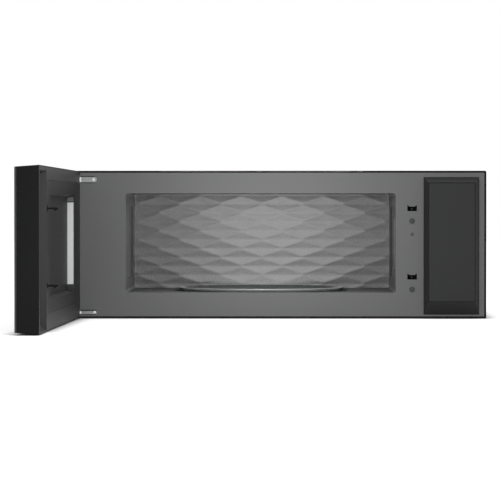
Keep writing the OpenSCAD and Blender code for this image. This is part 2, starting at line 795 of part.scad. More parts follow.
module fan_housing() {
    h = fan_r + 12;
    color("#55585b") {
        difference() {
            union() {
                box([fan_x - h, fan_plate_y, fan_z - h], [fan_x + h, fan_plate_y + 1.5, fan_z + h]);
                rod_y(fan_x, fan_plate_y, fan_plate_y + fan_depth, fan_z, fan_r + 4);
            }
            rod_y(fan_x, fan_plate_y - eps, fan_plate_y + fan_depth + eps, fan_z, fan_r + 2);
        }
        for (s = [-1, 1]) box([fan_x + s * (h - 0.75) - 0.75, fan_plate_y, fan_z - h],
                              [fan_x + s * (h - 0.75) + 0.75, -sheet, fan_z + h]);
        for (s = [-1, 1]) box([fan_x - fan_r - 3, fan_plate_y + fan_depth - 2, fan_z + s * 12 - 4],
                              [fan_x + fan_r + 3, fan_plate_y + fan_depth, fan_z + s * 12 + 4]);
    }
}

fan_motor_y = fan_plate_y + fan_depth;

module fan_motor() {
    color("#7b7f84") difference() {
        union() {
            box([fan_x - 24, fan_motor_y, fan_z - 22], [fan_x + 24, fan_motor_y + 20, fan_z + 22]);
            rod_y(fan_x, fan_motor_y - 4, fan_motor_y + 26, fan_z, 7);
        }
        rod_y(fan_x, fan_motor_y - 4 - eps, fan_motor_y + 18, fan_z, 2 + running_gap);
    }
}

module fan_blade() {
    y0 = fan_plate_y + 2;
    y1 = fan_plate_y + 18;
    color("#d9d9d4") {
        rod_y(fan_x, y0, y1, fan_z, 12);
        rod_y(fan_x, y1 - eps, fan_motor_y + 17, fan_z, 2);
        for (i = [0 : fan_blades - 1]) translate([fan_x, (y0 + y1) / 2, fan_z])
            rotate([0, i * 360 / fan_blades, 0]) intersection() {
                rotate([35, 0, 0]) translate([10, -0.9, -16]) cube([fan_r, 1.8, 32]);
                rod_y(0, -8, 8, 0, fan_r);
            }
    }
}

module air_duct() {
    y0 = antenna_y + 41;
    y1 = fan_plate_y;
    x0 = guide_x0 + guide_w + 1;
    x1 = x0 + 88;
    color("#c9c7c0") difference() {
        box([x0, y0, fan_z - 40], [x1, y1, fan_z + 40]);
        box([x0 + 1.5, y0 - eps, fan_z - 38.5], [x1 - 1.5, y1 + eps, fan_z + 38.5]);
    }
}

/* High-voltage parts on the base */
core = [88, 66];
core_x = x_right - core[0] - 21.3;
core_y = y_front + 90;
cap_y = core_y + core[1] + 22;
cap_d = 34;

module transformer() {
    color("#6d4b3a") translate([core_x, core_y, sheet]) {
        difference() {
            box([0, 0, 6], [core[0], core[1], 74]);
            for (s = [0, 1]) box([16 + s * 34, -eps, 20], [38 + s * 34, core[1] + eps, 60]);
        }
        box([18, -12, 21], [core[0] - 18, core[1] + 12, 59]);
        box([-8, 4, 0], [core[0] + 8, core[1] - 4, 2]);
        box([0, 4, 0], [core[0], core[1] - 4, 8]);
    }
}

module capacitor() {
    r = cap_d / 2;
    color("#b7babd") translate([core_x, cap_y, sheet]) {
        box([r, 0, 0], [core[0] - 4, cap_d, 50]);
        for (x = [r, core[0] - 4]) rod_z(x, r, 0, 50, r);
        for (i = [0, 1]) box([38 + i * 18, r - 2, 50], [44 + i * 18, r - 1, 60]);
    }
}

module diode() {
    x = core_x + 52;
    y = cap_y + cap_d + 16;
    color("#1f1f21") {
        rod_x(x, x + 26, y, sheet + 5, 4);
        box([x + 8, y - 4, sheet], [x + 18, y + 4, sheet + 5]);
    }
}

// Board on the cabinet's right side: length along Y and height.
filter_board = [90, 70];
filter_board_z = 150;

module line_filter_board() {
    x1 = x_right - sheet;
    w = filter_board[0];
    h = filter_board[1];
    color("#4b6a3f") translate([x1, y_front + 60, filter_board_z]) {
        box([-8, 0, 0], [-6.4, w, h]);
        for (y = [6, w - 6], z = [6, h - 6]) rod_x(-6.4 - eps, 0, y, z, 3);
        rod_x(-30, -8, w / 3, h - 30, 14);
        box([-24, w - 38, 15], [-8, w - 8, 35]);
    }
}

cutout_x = 120;

module thermal_cutouts() {
    color("#a98f62") for (s = [-1, 1])
        translate([cav_xm + s * cutout_x, cav_ym, cav_z1 + liner_t]) {
            cylinder(h = 4, r = 8);
            cylinder(h = 11, r = 6);
        }
}

/* Turntable */
module turntable_motor() {
    z1 = well_z - liner_t;
    color("#c4c6c8") difference() {
        union() {
            rod_z(cav_xm, cav_ym, z1 - 18, z1, 25);
            box([cav_xm - 32, cav_ym - 7, z1 - 3], [cav_xm + 32, cav_ym + 7, z1]);
            rod_z(cav_xm, cav_ym, z1 - eps, well_z + 0.6, shaft_r + 2);
        }
        rod_z(cav_xm, cav_ym, z1 - 12, well_z + 1, shaft_r + running_gap);
    }
}

coupler_z = well_z + 0.9;
coupler_r = 9;

module lobes(r, w, h) {
    for (a = [0, 120, 240]) rotate([0, 0, a]) translate([0, -w / 2, 0]) cube([r, w, h]);
}

module turntable_coupler() {
    h = tray_z - seat_gap - coupler_z;
    color("#ece9df") translate([cav_xm, cav_ym, coupler_z]) {
        cylinder(h = h, r = coupler_r);
        lobes(20, 6, h - 2);
        translate([0, 0, -10]) cylinder(h = 10 + eps, r = shaft_r);
    }
}

module glass_turntable() {
    r = tray_d / 2;
    t = tray_t;
    color("#dfe8ea", 0.5) translate([cav_xm, cav_ym, tray_z]) {
        rotate_extrude($fn = 96)
            polygon([[0, 0], [r - 16, 0], [r - 3, tray_h - t - 1], [r, tray_h - 1.4], [r - 1.2, tray_h],
                     [r - 5, tray_h - 1.2], [r - 18, t], [0, t]]);
        for (a = [60, 180, 300]) rotate([0, 0, a]) translate([14, -3, -4]) cube([5, 6, 4 + eps]);
        difference() {
            translate([0, 0, -2]) cylinder(h = 2 + eps, r = roller_path - roller_w / 2 - 2);
            translate([0, 0, -2 - eps]) cylinder(h = 3, r = roller_path - roller_w / 2 - 4);
        }
    }
}

ring_r1 = roller_path - roller_w / 2 - 5;
ring_h = 5;
axle_len = roller_w + 6;

module roller_place(k) {
    translate([cav_xm, cav_ym, roller_z]) rotate([0, 0, 90 + k * 120]) children();
}

module roller_ring() {
    color("#d7d4ca") {
        difference() {
            rod_z(cav_xm, cav_ym, roller_z - ring_h / 2, roller_z + ring_h / 2, ring_r1);
            rod_z(cav_xm, cav_ym, roller_z - ring_h, roller_z + ring_h, ring_r1 - ring_w);
        }
        for (k = [0 : 2]) roller_place(k) rod_x(ring_r1 - 1, roller_path + roller_w / 2 + 2, 0, 0, axle_r);
    }
}

module roller(k) {
    color("#f0eee8") roller_place(k) difference() {
        rod_x(roller_path - roller_w / 2, roller_path + roller_w / 2, 0, 0, roller_r);
        rod_x(roller_path - roller_w, roller_path + roller_w, 0, 0, axle_r + running_gap);
    }
}
module roller_1() { roller(0); }
module roller_2() { roller(1); }
module roller_3() { roller(2); }

/* Vent blower behind the cavity */
blower_y = (cav_y1 + diamond_depth + back_t - sheet - rib_depth) / 2;
blower_gap = 3;
motor_len = 56;
scroll_w = wheel_len + 10;
blower_xs = [-motor_len / 2 - scroll_w, motor_len / 2];

scroll_wall = 1.5;
scroll_grow = 3;
scroll_r = -cav_y1 + blower_y - diamond_depth - back_t - scroll_wall - scroll_grow - blower_clear;
wheel_r = scroll_r - blower_gap;
motor_r = wheel_r - 2;
neck_w = 25;
neck_h = body_h - blower_z - 10;

// Outline of a blower housing in Y and Z, grown by t: a spiral from the tongue round to the
// front, and the neck that rises from it.
module scroll_outline(t) {
    steps = 36;
    tongue = 105;
    turn = tongue + 180;
    front = -scroll_r - scroll_grow - t;
    spiral = [for (i = [0 : steps])
        let (a = tongue - turn * i / steps, r = scroll_r + t + scroll_grow * i / steps)
        [r * cos(a), r * sin(a)]];
    polygon(concat(spiral, [[front, neck_h + t], [front + neck_w + 2 * t, neck_h + t]]));
}

module scroll(x0, x1, t) {
    translate([x0, 0, 0]) rotate([90, 0, 90]) linear_extrude(x1 - x0) scroll_outline(t);
}

module blower_housing() {
    color("#4a4d50") translate([cav_xm, blower_y, blower_z]) {
        for (x = blower_xs) translate([x, 0, 0]) difference() {
            scroll(0, scroll_w, scroll_wall);
            scroll(scroll_wall, scroll_w - scroll_wall, 0);
            rod_x(-1, scroll_w + 1, 0, 0, wheel_r - 5);
            box([4, -60, neck_h - 22], [scroll_w - 4, -scroll_r, neck_h - 4]);
        }
        box([-motor_len / 2 - eps, -20, -motor_r - 4], [motor_len / 2 + eps, 20, -motor_r - 2]);
        for (s = [-1, 1]) box([s * (motor_len / 2 + 20) - 8, wheel_r + 4, -10],
                              [s * (motor_len / 2 + 20) + 8, -sheet - blower_y, 10]);
        for (s = [-1, 1]) box([s * 16 - 4, -14, -motor_r - 2.01], [s * 16 + 4, 14, -motor_r + 6]);
    }
}

module blower_motor() {
    color("#8f9397") translate([cav_xm, blower_y, blower_z]) difference() {
        union() {
            rod_x(-motor_len / 2 + 3, motor_len / 2 - 3, 0, 0, motor_r);
            rod_x(-motor_len / 2 + 1, motor_len / 2 - 1, 0, 0, 10);
        }
        rod_x(-motor_len, motor_len, 0, 0, 3 + running_gap);
        for (s = [-1, 1]) box([s * 16 - 4, -14, -motor_r - 2], [s * 16 + 4, 14, -motor_r + 6]);
    }
}

module blower_wheels() {
    color("#2f3133") translate([cav_xm, blower_y, blower_z]) {
        rod_x(-motor_len / 2 - wheel_len, motor_len / 2 + wheel_len, 0, 0, 3);
        for (s = [0, 1]) mirror([s, 0, 0]) translate([motor_len / 2 + 5, 0, 0]) {
            difference() {
                rod_x(0, 2, 0, 0, wheel_r);
                rod_x(-1, 3, 0, 0, wheel_r - 7);
            }
            difference() {
                rod_x(wheel_len - 2, wheel_len, 0, 0, wheel_r);
                rod_x(wheel_len - 3, wheel_len + 1, 0, 0, wheel_r - 7);
            }
            rod_x(wheel_len / 2 - 1, wheel_len / 2 + 1, 0, 0, wheel_r);
            for (i = [0 : wheel_blades - 1]) rotate([i * 360 / wheel_blades, 0, 0])
                translate([1, wheel_r - 3.5, 0]) rotate([30, 0, 0])
                    translate([0, -3, -0.5]) cube([wheel_len - 2, 6, 1]);
        }
    }
}

duct_z = cav_z1 + liner_t + 4;
duct_in = 60;
duct_x0 = cav_x0 + duct_in;
duct_x1 = cav_x1 - duct_in;

module exhaust_duct() {
    y0 = y_front + 24;
    z1 = body_h - sheet;
    color("#a4a7a9") {
        difference() {
            box([duct_x0, y0, duct_z], [duct_x1, cav_y1 - 2, z1]);
            box([duct_x0 + 1, y0 + 1, duct_z + 1], [duct_x1 - 1, cav_y1, z1 + eps]);
            for (s = [-1, 1]) rod_z(cav_xm + s * cutout_x, cav_ym, duct_z - 1, duct_z + 9, 10);
        }
        for (x = [duct_x0 + 10, duct_x1 - 30], y = [y0 + 60, cav_y1 - 40])
            box([x, y, cav_z1 + liner_t], [x + 20, y + 14, duct_z]);
    }
}

pleat_pitch = 20.4;
carbon_y = y_front + 74;
carbon_t = 16;

module charcoal_filter() {
    pleats = floor((duct_x1 - duct_x0 - 12) / pleat_pitch);
    color("#26282a") difference() {
        box([duct_x0 + 2, carbon_y, duct_z + 1], [duct_x1 - 2, carbon_y + carbon_t, body_h - sheet - 1]);
        for (i = [0 : pleats - 1]) translate([duct_x0 + 10 + i * pleat_pitch, carbon_y - 1, 0])
            box([0, 0, duct_z + 5], [pleat_pitch - 6.4, 5, body_h - sheet - 5]);
    }
}

/* Underside */
module cooktop_lamps() {
    w = lamp_w / 2 + 8;
    color("#dcdcd6") for (sx = [-1, 1]) translate([sx * lamp_x, lamp_y0, sheet]) {
        difference() {
            box([-w, -8, 0], [w, lamp_d + 8, 26]);
            box([-w + 1, -7, -eps], [w - 1, lamp_d + 7, 25]);
        }
        box([-30, 12, 21], [30, lamp_d - 12, 25 + eps]);
        for (k = [-1, 0, 1]) translate([k * 18, lamp_d / 2, 18]) cylinder(h = 4, r = 5);
    }
}

rib_pitch = 5.8;

module lamp_cover() {
    translate([0, 0, 0.2]) difference() {
        union() {
            box([-lamp_w / 2, lamp_y0, 0], [lamp_w / 2, lamp_hinge_y - lamp_hinge_r - 1, lamp_t]);
            for (k = [-1, 1]) {
                x = k * lamp_ear_x;
                box([x - lamp_knuckle / 2, lamp_hinge_y - lamp_hinge_r - 2, 0],
                    [x + lamp_knuckle / 2, lamp_hinge_y, lamp_t]);
                rod_x(x - lamp_knuckle / 2, x + lamp_knuckle / 2, lamp_hinge_y, lamp_hinge_z - 0.2,
                      lamp_hinge_r);
            }
            for (i = [0 : floor((lamp_w - 14) / rib_pitch) - 1])
                translate([8 + i * rib_pitch - lamp_w / 2, lamp_y0 + 6, lamp_t - eps])
                    cube([2, lamp_d - 19.4, 0.6 + eps]);
        }
        rod_x(-lamp_w, lamp_w, lamp_hinge_y, lamp_hinge_z - 0.2, lamp_pin_r + running_gap);
    }
}
module lamp_cover_left() { color("#eceff0", 0.6) translate([-lamp_x, 0, 0]) lamp_cover(); }
module lamp_cover_right() { color("#eceff0", 0.6) translate([lamp_x, 0, 0]) lamp_cover(); }

mesh_pitch = 13;
mesh_bar = 3;

module grease_filter(x) {
    w = filter_w;
    d = filter_d;
    rim = 9;
    cols = floor((w - 2 * rim) / mesh_pitch);
    rows = floor((d - 2 * rim) / mesh_pitch);
    color("#b9bcbf") translate([x, -filter_back, filter_z]) difference() {
        union() {
            difference() {
                box([-w / 2, -d / 2, 0], [w / 2, d / 2, filter_t]);
                box([-w / 2 + rim, -d / 2 + rim, -eps], [w / 2 - rim, d / 2 - rim, filter_t + eps]);
            }
            box([-w / 2 + rim - 1, -d / 2 + rim - 1, 2], [w / 2 - rim + 1, d / 2 - rim + 1, 5]);
        }
        for (i = [0 : cols - 1], j = [0 : rows - 1])
            translate([(i - (cols - 1) / 2) * mesh_pitch, (j - (rows - 1) / 2) * mesh_pitch, 1])
                rotate([0, 0, 45]) translate([-3.6, -3.6, 0]) cube([7.2, 7.2, 6]);
    }
}
module grease_filter_left() { grease_filter(-filter_x); }
module grease_filter_right() { grease_filter(filter_x); }

module cord_bushing() {
    color("#1c1c1d") difference() {
        union() {
            rod_z(cord_x, cord_y, body_h - sheet - 6, body_h + 1.5, cord_r - 0.1);
            rod_z(cord_x, cord_y, body_h, body_h + 2.5, cord_r + 3);
            rod_z(cord_x, cord_y, body_h - sheet - 3, body_h - sheet, cord_r + 1.5);
        }
        rod_z(cord_x, cord_y, body_h - sheet - 7, body_h + 3, 5);
    }
}

insert_len = 14;
insert_r = 3.2;

module bolt_inserts() {
    color("#c8b47a") for (s = [-1, 1]) translate([s * bolt_spacing / 2, -bolt_back, 0]) difference() {
        union() {
            rod_z(0, 0, body_h - sheet - insert_len, body_h - sheet, 7);
            rod_z(0, 0, body_h - sheet - eps, body_h, bolt_hole_d / 2 - 0.05);
            box([-16, -10, body_h - sheet - 2], [16, 10, body_h - sheet]);
        }
        rod_z(0, 0, body_h - sheet - insert_len - 1, body_h + 1, insert_r);
    }
}

/* Door, drawn closed and turned open */
module door_block(x0, x1, y0, y1, m) {
    lean = door_lean / (door_t - glass_t);
    a = (door_y - y1) * lean;
    b = (door_y - y0) * lean;
    translate([x0, 0, 0]) rotate([90, 0, 90]) linear_extrude(x1 - x0)
        polygon([[y1, door_z0 + a + m], [y1, door_z1 - a - m], [y0, door_z1 - b - m],
                 [y0, door_z0 + b + m]]);
}

pocket_a = [control_x0 - 9, control_bottom - pocket_gap];
pocket_b = [control_x1 + pocket_gap, control_z1 + pocket_gap];
pocket_c = [control_x0 - 1, control_bottom + control_slope_bottom - pocket_gap];
pocket_e = [control_x1 - control_slope_side + pocket_gap, control_z1 - control_slope_top + pocket_gap];
cover_x0 = x_left + cover_left;
cover_x1 = latch_x - hook_w / 2 - 5;
cover_z0 = door_z0 + cover_bottom;
cover_z1 = door_z1 - cover_top;
win_x0 = x_left + window_left;
win_x1 = cav_x1 - window_right;
win_z0 = door_z0 + window_bottom;
win_z1 = door_z1 - window_top;
notch_gap = 0.8;

// Room in the door for a hinge's lug, its pin and the face of its bracket.
module pin_notch(i) {
    z = hinge_zs[i];
    r = lug_r + notch_gap;
    h = lug_t + 2 * notch_gap;
    k = bracket_size(i) / 2 + notch_gap;
    difference() {
        box([x_left - 1, hinge_y, z - k], [hinge_x, door_y + 1, z + k]);
        rod_z(hinge_x, hinge_y, z - k - 1, z + k + 1, bracket_face - hinge_y - 0.3);
    }
    translate([0, 0, z - h / 2]) {
        box([x_left - 1, hinge_y - r, 0], [hinge_x + r, door_y + 1, h]);
        translate([hinge_x, hinge_y, 0]) cylinder(h = h, r = r);
    }
    rod_z(hinge_x, hinge_y, z - lug_t / 2 - pin_len - 1.2, z + lug_t / 2 + pin_len + 1.2, bushing_r);
}

module door_frame() {
    w = door_wall;
    color("#1e1f20") on_door() difference() {
        union() {
            difference() {
                door_block(x_left, door_x1, door_back, door_y, 0);
                difference() {
                    door_block(x_left + 9, door_x1 - w, door_back - eps, door_y - w, w);
                    for (z = hinge_zs) box([x_left, door_back - 1, z - 12], [x_left + 16, door_y, z + 12]);
                }
            }
            sloped_block(door_y, door_y - pocket_d - w, pocket_a - [w, 0], pocket_b + [w, 0],
                         pocket_c - [w, w], pocket_e + [w, w]);
            rod_y(spring_x, spring_y - 2, door_y - w + eps, spring_z0, peg_r);
        }
        sloped_block(door_y + eps, door_y - pocket_d, pocket_a, pocket_b, pocket_c, pocket_e);
        box([cover_x0, door_y - cover_t, cover_z0], [cover_x1, door_y + 1, cover_z1]);
        box([cover_x0 + 6, door_y - w - 1, cover_z0 + 6], [cover_x1 - 4, door_y + 1, cover_z1 - 6]);
        for (z = hook_zs)
            box([latch_x - hook_w / 2 - 0.4, door_y - w - 1, z - hook_t / 2 - hook_catch - 0.4],
                [latch_x + hook_w / 2 + 0.4, door_y + 1, z + hook_t / 2 + latch_lift + 0.4]);
        for (i = [0, 1]) pin_notch(i);
    }
}

module hinge_bushings() {
    color("#d8d5cc") on_door() for (z = hinge_zs, s = [-1, 1]) difference() {
        a = z + s * (lug_t / 2 + notch_gap);
        b = z + s * (lug_t / 2 + pin_len + 0.8);
        rod_z(hinge_x, hinge_y, min(a, b), max(a, b), bushing_r);
        rod_z(hinge_x, hinge_y, min(a, b) - 1, max(a, b) + 1, pin_r + running_gap);
    }
}

module door_glass() {
    r = corner_r;
    color("#3a3c3e") on_door() upright(door_face, door_back)
        round_rect(x_left, door_z0 + door_lean, door_x1, door_z1 - door_lean, r);
}

module glass_stop() {
    color("#111112") on_door() box([door_x1, door_face + 0.4, body_h - 34],
                                   [door_x1 + 1, door_back, body_h - 28]);
}

module window_outline(m) {
    round_rect(win_x0 - m, win_z0 - m, win_x1 + m, win_z1 + m, window_r + m);
}

module choke_cover() {
    g = cover_gap;
    color("#3b3d40") on_door() difference() {
        upright(door_y - cover_t, door_y)
            round_rect(cover_x0 + g, cover_z0 + g, cover_x1 - g, cover_z1 - g, 3);
        upright(door_y - cover_t - 1, door_y + 1) window_outline(liner_wall + 0.1);
    }
}

liner_wall = 0.8;

// The bright wall round the window, leaning in towards the pane.
module window_liner() {
    t = liner_wall;
    color("#dcdde0") on_door() difference() {
        union() {
            window_loft(t, 0);
            upright(door_y - cover_t - t, door_y - cover_t) window_outline(5);
        }
        window_loft(0, 1);
    }
}

module window_loft(t, cut) {
    l = window_lean;
    hull() {
        upright(door_y - 2 * eps, door_y - eps + cut * 2 * eps) window_outline(t - eps);
        upright(door_y - window_depth - cut * eps, door_y - window_depth + eps)
            round_rect(win_x0 + l - t, win_z0 + l - t, win_x1 - l + t, win_z1 - l + t, window_r - l + t);
    }
}

pane_t = 1;

module inner_pane() {
    color("#2c2e31", 0.8) on_door() upright(door_y - window_depth - pane_t, door_y - window_depth)
        round_rect(win_x0 - 3, win_z0 - 3, win_x1 + 3, win_z1 + 3, window_r);
}

module window_screen() {
    y = door_y - window_depth - pane_t;
    color("#1a1b1c") on_door() upright(y - 0.6, y)
        round_rect(win_x0 + 2, win_z0 + 2, win_x1 - 2, win_z1 - 2, window_r - 4);
}

choke_pitch = 26;
choke_slot = 5;

module choke_panel() {
    x0 = cover_x0 + 6.5;
    x1 = cover_x1 - 4.5;
    z0 = cover_z0 + 6.5;
    z1 = cover_z1 - 6.5;
    y1 = door_y - window_depth - pane_t - 0.6;
    y2 = y1 - 2;
    color("#5b5e60") on_door() difference() {
        union() {
            box([x0, y1 - 1, z0], [x1, y1, z1]);
            difference() {
                box([x0, y1, z0], [x1, door_y - cover_t - 0.8, z1]);
                box([x0 + 1, y1 - 1, z0 + 1], [x1 - 1, door_y, z1 - 1]);
            }
            for (z = [z0 + 1, z1 - 9]) box([x0 - 2, y2, z], [x1 + 2, y2 + 1, z + 8]);
        }
        upright(y1 - 2, y1 + 1) round_rect(win_x0 + 8, win_z0 + 8, win_x1 - 8, win_z1 - 8, 6);
        for (i = [1 : floor((x1 - x0) / choke_pitch) - 1], z = [z0 - 1, z1 - 1])
            box([x0 + i * choke_pitch, y1 + 2, z], [x0 + i * choke_pitch + choke_slot, door_y, z + 2]);
    }
}

module touch_board() {
    y1 = door_y - pocket_d - door_wall;
    color("#2f5d3f") on_door() {
        box([pocket_c[0] + 6, y1 - 1.6, pocket_c[1] + 10], [pocket_e[0] - 6, y1, pocket_e[1] - 30]);
        for (k = [0 : 3]) translate([0, 0, k * 34])
            rod_y(pocket_c[0] + 40, y1 - 6, y1 - 1.6, pocket_c[1] + 40, 6);
    }
}

bar_y = door_y - door_wall - 0.3;
bar_t = 3;
bar_w = 10;

spring_x = latch_x - 10;
spring_y = bar_y - bar_t - 2;
spring_z0 = hook_low + 24;
spring_len = 30;
spring_r = 2;
peg_r = 1;

module latch_bar() {
    color("#17181a") on_door() {
        box([latch_x - bar_w / 2, bar_y - bar_t, hook_low - 12],
            [latch_x + bar_w / 2, bar_y, hook_high + 12]);
        box([spring_x - 2, bar_y - bar_t, spring_z0 + spring_len - 3],
            [latch_x, bar_y, spring_z0 + spring_len + 3]);
        rod_y(spring_x, spring_y - 2, bar_y - bar_t + eps, spring_z0 + spring_len, peg_r);
        for (z = hook_zs) {
            box([latch_x - hook_w / 2, bar_y - bar_t, z - hook_t / 2],
                [latch_x + hook_w / 2, door_y + hook_out - 2, z + hook_t / 2]);
            hook_end(z);
            translate([latch_x - hook_w / 2, 0, 0]) rotate([90, 0, 90]) linear_extrude(hook_w)
                polygon([[door_y + hook_out - 8, z - hook_t / 2 + eps],
                         [door_y + hook_out - 7, z - hook_t / 2 - hook_catch],
                         [door_y + hook_out - 4, z - hook_t / 2 - hook_catch],
                         [door_y + hook_out - 0.6, z - hook_t / 2 + eps]]);
        }
    }
}

// The rounded end of a hook.
module hook_end(z) {
    r = hook_t / 2;
    rod_x(latch_x - hook_w / 2, latch_x + hook_w / 2, door_y + hook_out - r, z, r);
    box([latch_x - hook_w / 2, door_y + hook_out - 4, z - r], [latch_x + hook_w / 2,
        door_y + hook_out - r, z + r]);
}

// Spring that pulls the bar down, hooked on a peg of the door and a peg of the bar.
module latch_spring() {
    color("#b8babc") on_door() difference() {
        union() {
            rod_z(spring_x, spring_y, spring_z0 + 2, spring_z0 + spring_len - 2, spring_r);
            for (z = [spring_z0, spring_z0 + spring_len])
                rod_y(spring_x, spring_y - 0.5, spring_y + 0.5, z, peg_r + 1.3);
        }
        for (z = [spring_z0, spring_z0 + spring_len])
            rod_y(spring_x, spring_y - 1, spring_y + 1, z, peg_r + 0.3);
    }
}

cabinet_top();
side_panels();
rear_panel();
base_plate();
front_plate();
cavity_liner();
cavity_back();
control_housing();
control_board();
latch_bracket();
interlock_switches();
door_bumpers();
upper_hinge();
lower_hinge();
plate_screws();
waveguide();
waveguide_cover();
magnetron();
fan_housing();
fan_motor();
air_duct();
transformer();
capacitor();
diode();
line_filter_board();
thermal_cutouts();
cavity_lamp();
turntable_motor();
blower_housing();
blower_motor();
exhaust_duct();
charcoal_filter();
cooktop_lamps();
cord_bushing();
bolt_inserts();
door_frame();
door_glass();
choke_panel();
choke_cover();
window_liner();
inner_pane();
window_screen();
hinge_bushings();
glass_stop();
touch_board();
latch_spring();
latch_bar();
turntable_coupler();
glass_turntable();
roller_ring();
roller_1();
roller_2();
roller_3();
fan_blade();
blower_wheels();
grease_filter_left();
grease_filter_right();
lamp_cover_left();
lamp_cover_right();
switch_plungers();
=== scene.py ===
# Over-the-range microwave with its wide door standing open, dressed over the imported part.
import math

import bmesh
import bpy
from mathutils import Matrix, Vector


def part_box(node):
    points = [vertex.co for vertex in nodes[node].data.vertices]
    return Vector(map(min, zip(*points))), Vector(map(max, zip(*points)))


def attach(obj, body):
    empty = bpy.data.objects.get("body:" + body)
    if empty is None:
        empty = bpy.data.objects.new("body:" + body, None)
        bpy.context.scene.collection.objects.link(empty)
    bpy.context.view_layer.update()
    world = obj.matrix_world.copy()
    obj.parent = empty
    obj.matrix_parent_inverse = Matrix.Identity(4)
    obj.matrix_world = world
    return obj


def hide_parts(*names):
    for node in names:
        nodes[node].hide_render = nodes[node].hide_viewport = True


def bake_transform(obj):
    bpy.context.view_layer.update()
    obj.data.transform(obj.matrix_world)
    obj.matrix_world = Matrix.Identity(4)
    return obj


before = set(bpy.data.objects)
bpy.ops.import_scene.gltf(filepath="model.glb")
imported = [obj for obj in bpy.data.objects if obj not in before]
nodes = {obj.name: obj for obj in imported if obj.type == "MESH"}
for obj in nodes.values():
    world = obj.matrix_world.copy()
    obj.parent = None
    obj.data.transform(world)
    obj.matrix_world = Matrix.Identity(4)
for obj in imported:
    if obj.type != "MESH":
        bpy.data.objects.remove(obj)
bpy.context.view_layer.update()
scene = bpy.context.scene


# Cabinet wrap, floor plate and rear panel
# A bent steel top and two flat side panels, welded along the upper corners, in black
# powder coat. The floor plate is dark grey steel, and the rear panel is left galvanised.
def noise_at(tree, coords, scale, detail):
    """Adds a noise over the piece's own coordinates and returns its output."""
    node = tree.nodes.new("ShaderNodeTexNoise")
    node.inputs["Scale"].default_value = scale
    node.inputs["Detail"].default_value = detail
    node.inputs["Roughness"].default_value = 0.55
    tree.links.new(coords.outputs["Object"], node.inputs["Vector"])
    return node.outputs["Fac"]


def spread(tree, noise, low, high):
    """Stretches the middle of a noise output, where nearly all of it lies, from low to high."""
    node = tree.nodes.new("ShaderNodeMapRange")
    for socket, value in (("From Min", 0.3), ("From Max", 0.7), ("To Min", low), ("To Max", high)):
        node.inputs[socket].default_value = value
    tree.links.new(noise, node.inputs["Value"])
    return node.outputs["Result"]


def varied(tree, colour, steps):
    """Multiplies a colour by noise outputs, each spread by its amount round 1."""
    last = None
    for noise, amount in steps:
        mix = tree.nodes.new("ShaderNodeMix")
        mix.data_type = "RGBA"
        mix.blend_type = "MULTIPLY"
        mix.inputs["Factor"].default_value = 1.0
        if last is None:
            mix.inputs["A"].default_value = (*colour, 1)
        else:
            tree.links.new(last, mix.inputs["A"])
        tree.links.new(spread(tree, noise, 1 - amount, 1 + amount), mix.inputs["B"])
        last = mix.outputs["Result"]
    return last


def finish(name, colour, rough, metal=0.0, vary=0.05, patch=7.0, grain=420.0, relief=0.05,
           specular=0.5, clear=0.0, ior=1.5, coat=0.0, spangle=0.0):
    """A finish with broad and fine colour variation, uneven gloss and a fine relief."""
    fine_share, uneven_gloss, relief_height, crystals = 0.6, 0.05, 0.0004, 220.0
    material = bpy.data.materials.new(name)
    material.use_nodes = True
    tree = material.node_tree
    shader = tree.nodes["Principled BSDF"]
    coords = tree.nodes.new("ShaderNodeTexCoord")
    broad = noise_at(tree, coords, scale=patch, detail=3.0)
    fine = noise_at(tree, coords, scale=grain, detail=6.0)
    steps = [(broad, vary), (fine, vary * fine_share)]
    if spangle:
        cells = tree.nodes.new("ShaderNodeTexVoronoi")
        cells.inputs["Scale"].default_value = crystals
        tree.links.new(coords.outputs["Object"], cells.inputs["Vector"])
        grey = tree.nodes.new("ShaderNodeSeparateColor")
        tree.links.new(cells.outputs["Color"], grey.inputs["Color"])
        steps.append((grey.outputs["Red"], spangle))
    tree.links.new(varied(tree, colour, steps), shader.inputs["Base Color"])
    gloss = spread(tree, fine, max(rough - uneven_gloss, 0.01), min(rough + uneven_gloss, 1.0))
    tree.links.new(gloss, shader.inputs["Roughness"])
    if relief:
        bump = tree.nodes.new("ShaderNodeBump")
        bump.inputs["Strength"].default_value = relief
        bump.inputs["Distance"].default_value = relief_height
        tree.links.new(fine, bump.inputs["Height"])
        tree.links.new(bump.outputs["Normal"], shader.inputs["Normal"])
    for socket, value in (("Metallic", metal), ("Specular IOR Level", specular), ("IOR", ior),
                          ("Transmission Weight", clear), ("Coat Weight", coat)):
        shader.inputs[socket].default_value = value
    return material


def dress(material, *names):
    """Gives CAD nodes a finish."""
    for name in names:
        mesh = nodes[name].data
        mesh.materials.clear()
        mesh.materials.append(material)


wrap_coat = finish("wrap_coat", (0.008, 0.0082, 0.0086), 0.5, grain=900.0, relief=0.12,
                   specular=0.04)
plate_coat = finish("floor_plate_coat", (0.035, 0.036, 0.038), 0.5, grain=900.0, relief=0.12,
                    specular=0.25)
galvanised = finish("galvanised_steel", (0.5, 0.51, 0.52), 0.42, metal=1.0, relief=0.04,
                    spangle=0.07)
dress(wrap_coat, "cabinet_top", "side_panels")
dress(plate_coat, "base_plate")
dress(galvanised, "rear_panel")

# Front plate
# The steel face between door and cavity, in a satin dark grey coat. Its outer rim takes the
# black wrap coat, partly for the wrap's black edge and partly as painted shade in the gap
# round the plate. It is folded back round its edge and pierced for the cavity, the latch
# slots and the hinges.
front_coat = finish("front_plate_coat", (0.113, 0.114, 0.116), 0.32, metal=0.05, vary=0.02,
                    grain=1400.0, relief=0.03, specular=0.21)
x_axis, z_axis = Vector((1, 0, 0)), Vector((0, 0, 1))


def corners(node):
    """The lowest and the highest corner of a CAD node's box, to the micrometre."""
    return [[round(place, 6) for place in corner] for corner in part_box(node)]


